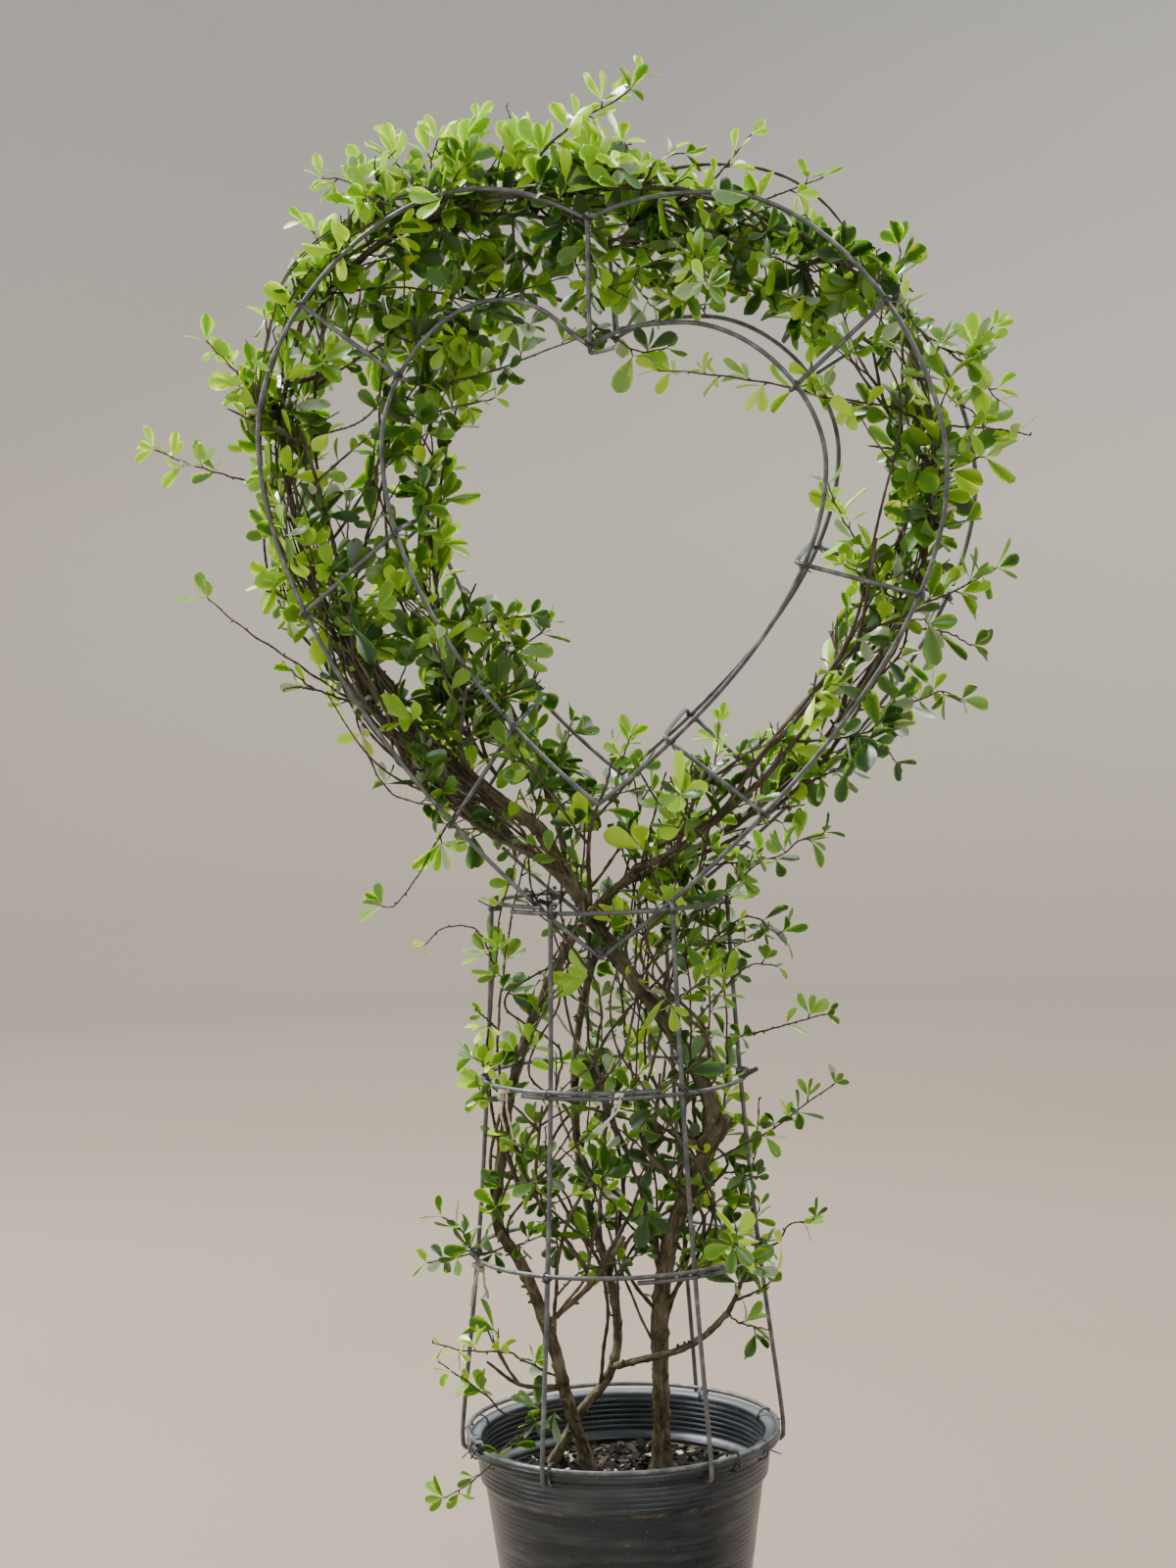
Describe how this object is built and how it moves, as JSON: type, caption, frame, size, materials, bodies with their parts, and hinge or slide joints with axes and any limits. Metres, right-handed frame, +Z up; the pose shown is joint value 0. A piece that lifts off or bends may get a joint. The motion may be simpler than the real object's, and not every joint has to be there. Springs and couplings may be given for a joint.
{
  "type": "potted heart topiary shrub",
  "caption": "Small-leaved shrub trained up a round wire cage and round a large wire heart, in a round black nursery pot that stands on its flat underside.",
  "frame": {"origin": "centre of the pot's flat underside, on the surface that it stands on", "axes": "+Z up; +X to the right and -Y towards the viewer, seen from the heart's open front"},
  "size_m": [0.8342, 0.3809, 1.5434],
  "materials": {
    "pot_plastic": "dusty black moulded plastic with fine ribs",
    "potting_soil": "dark bark mix with dry leaf litter",
    "wire_steel": "dull grey weathered steel wire",
    "stem_bark": "grey-brown bark with nodes",
    "leaf_green": "small glossy green leaves"
  },
  "bodies": {
    "root": {"bough_left_front": "stem_bark", "bough_left_inner": "stem_bark", "bough_left_mid": "stem_bark", "bough_left_outer_high": "stem_bark", "bough_left_outer_low": "stem_bark", "bough_right_low": "stem_bark", "bough_right_outer_high": "stem_bark", "bough_right_outer_low": "stem_bark", "bough_right_top": "stem_bark", "bough_top": "stem_bark", "cage_ring_low": "wire_steel", "cage_ring_mid": "wire_steel", "cage_ring_top": "wire_steel", "cage_upright_1": "wire_steel", "cage_upright_2": "wire_steel", "cage_upright_3": "wire_steel", "cage_upright_4": "wire_steel", "cage_upright_5": "wire_steel", "cage_upright_6": "wire_steel", "foliage_cage_left": "leaf_green", "foliage_cage_low": "leaf_green", "foliage_cage_right": "leaf_green", "foliage_cage_top": "leaf_green", "foliage_junction": "leaf_green", "foliage_left_high": "leaf_green", "foliage_left_inner": "leaf_green", "foliage_left_low": "leaf_green", "foliage_left_mid": "leaf_green", "foliage_left_shoulder": "leaf_green", "foliage_pot_left": "leaf_green", "foliage_right_foot": "leaf_green", "foliage_right_high": "leaf_green", "foliage_right_low": "leaf_green", "foliage_right_mid": "leaf_green", "foliage_right_shoulder": "leaf_green", "foliage_top_left": "leaf_green", "foliage_top_middle": "leaf_green", "foliage_top_right": "leaf_green", "heart_back_inner": "wire_steel", "heart_back_outer": "wire_steel", "heart_front_inner": "wire_steel", "heart_front_outer": "wire_steel", "heart_staple_low_left": "wire_steel", "heart_staple_low_right": "wire_steel", "heart_staple_mid_left": "wire_steel", "heart_staple_mid_right": "wire_steel", "heart_staple_notch": "wire_steel", "heart_staple_top_left": "wire_steel", "heart_staple_top_right": "wire_steel", "limb_cross": "stem_bark", "limb_low_right": "stem_bark", "pot": "pot_plastic", "rim_ring": "wire_steel", "soil": "potting_soil", "stem_left": "stem_bark", "stem_middle": "stem_bark", "trunk_right": "stem_bark"}
  },
  "joints": []
}
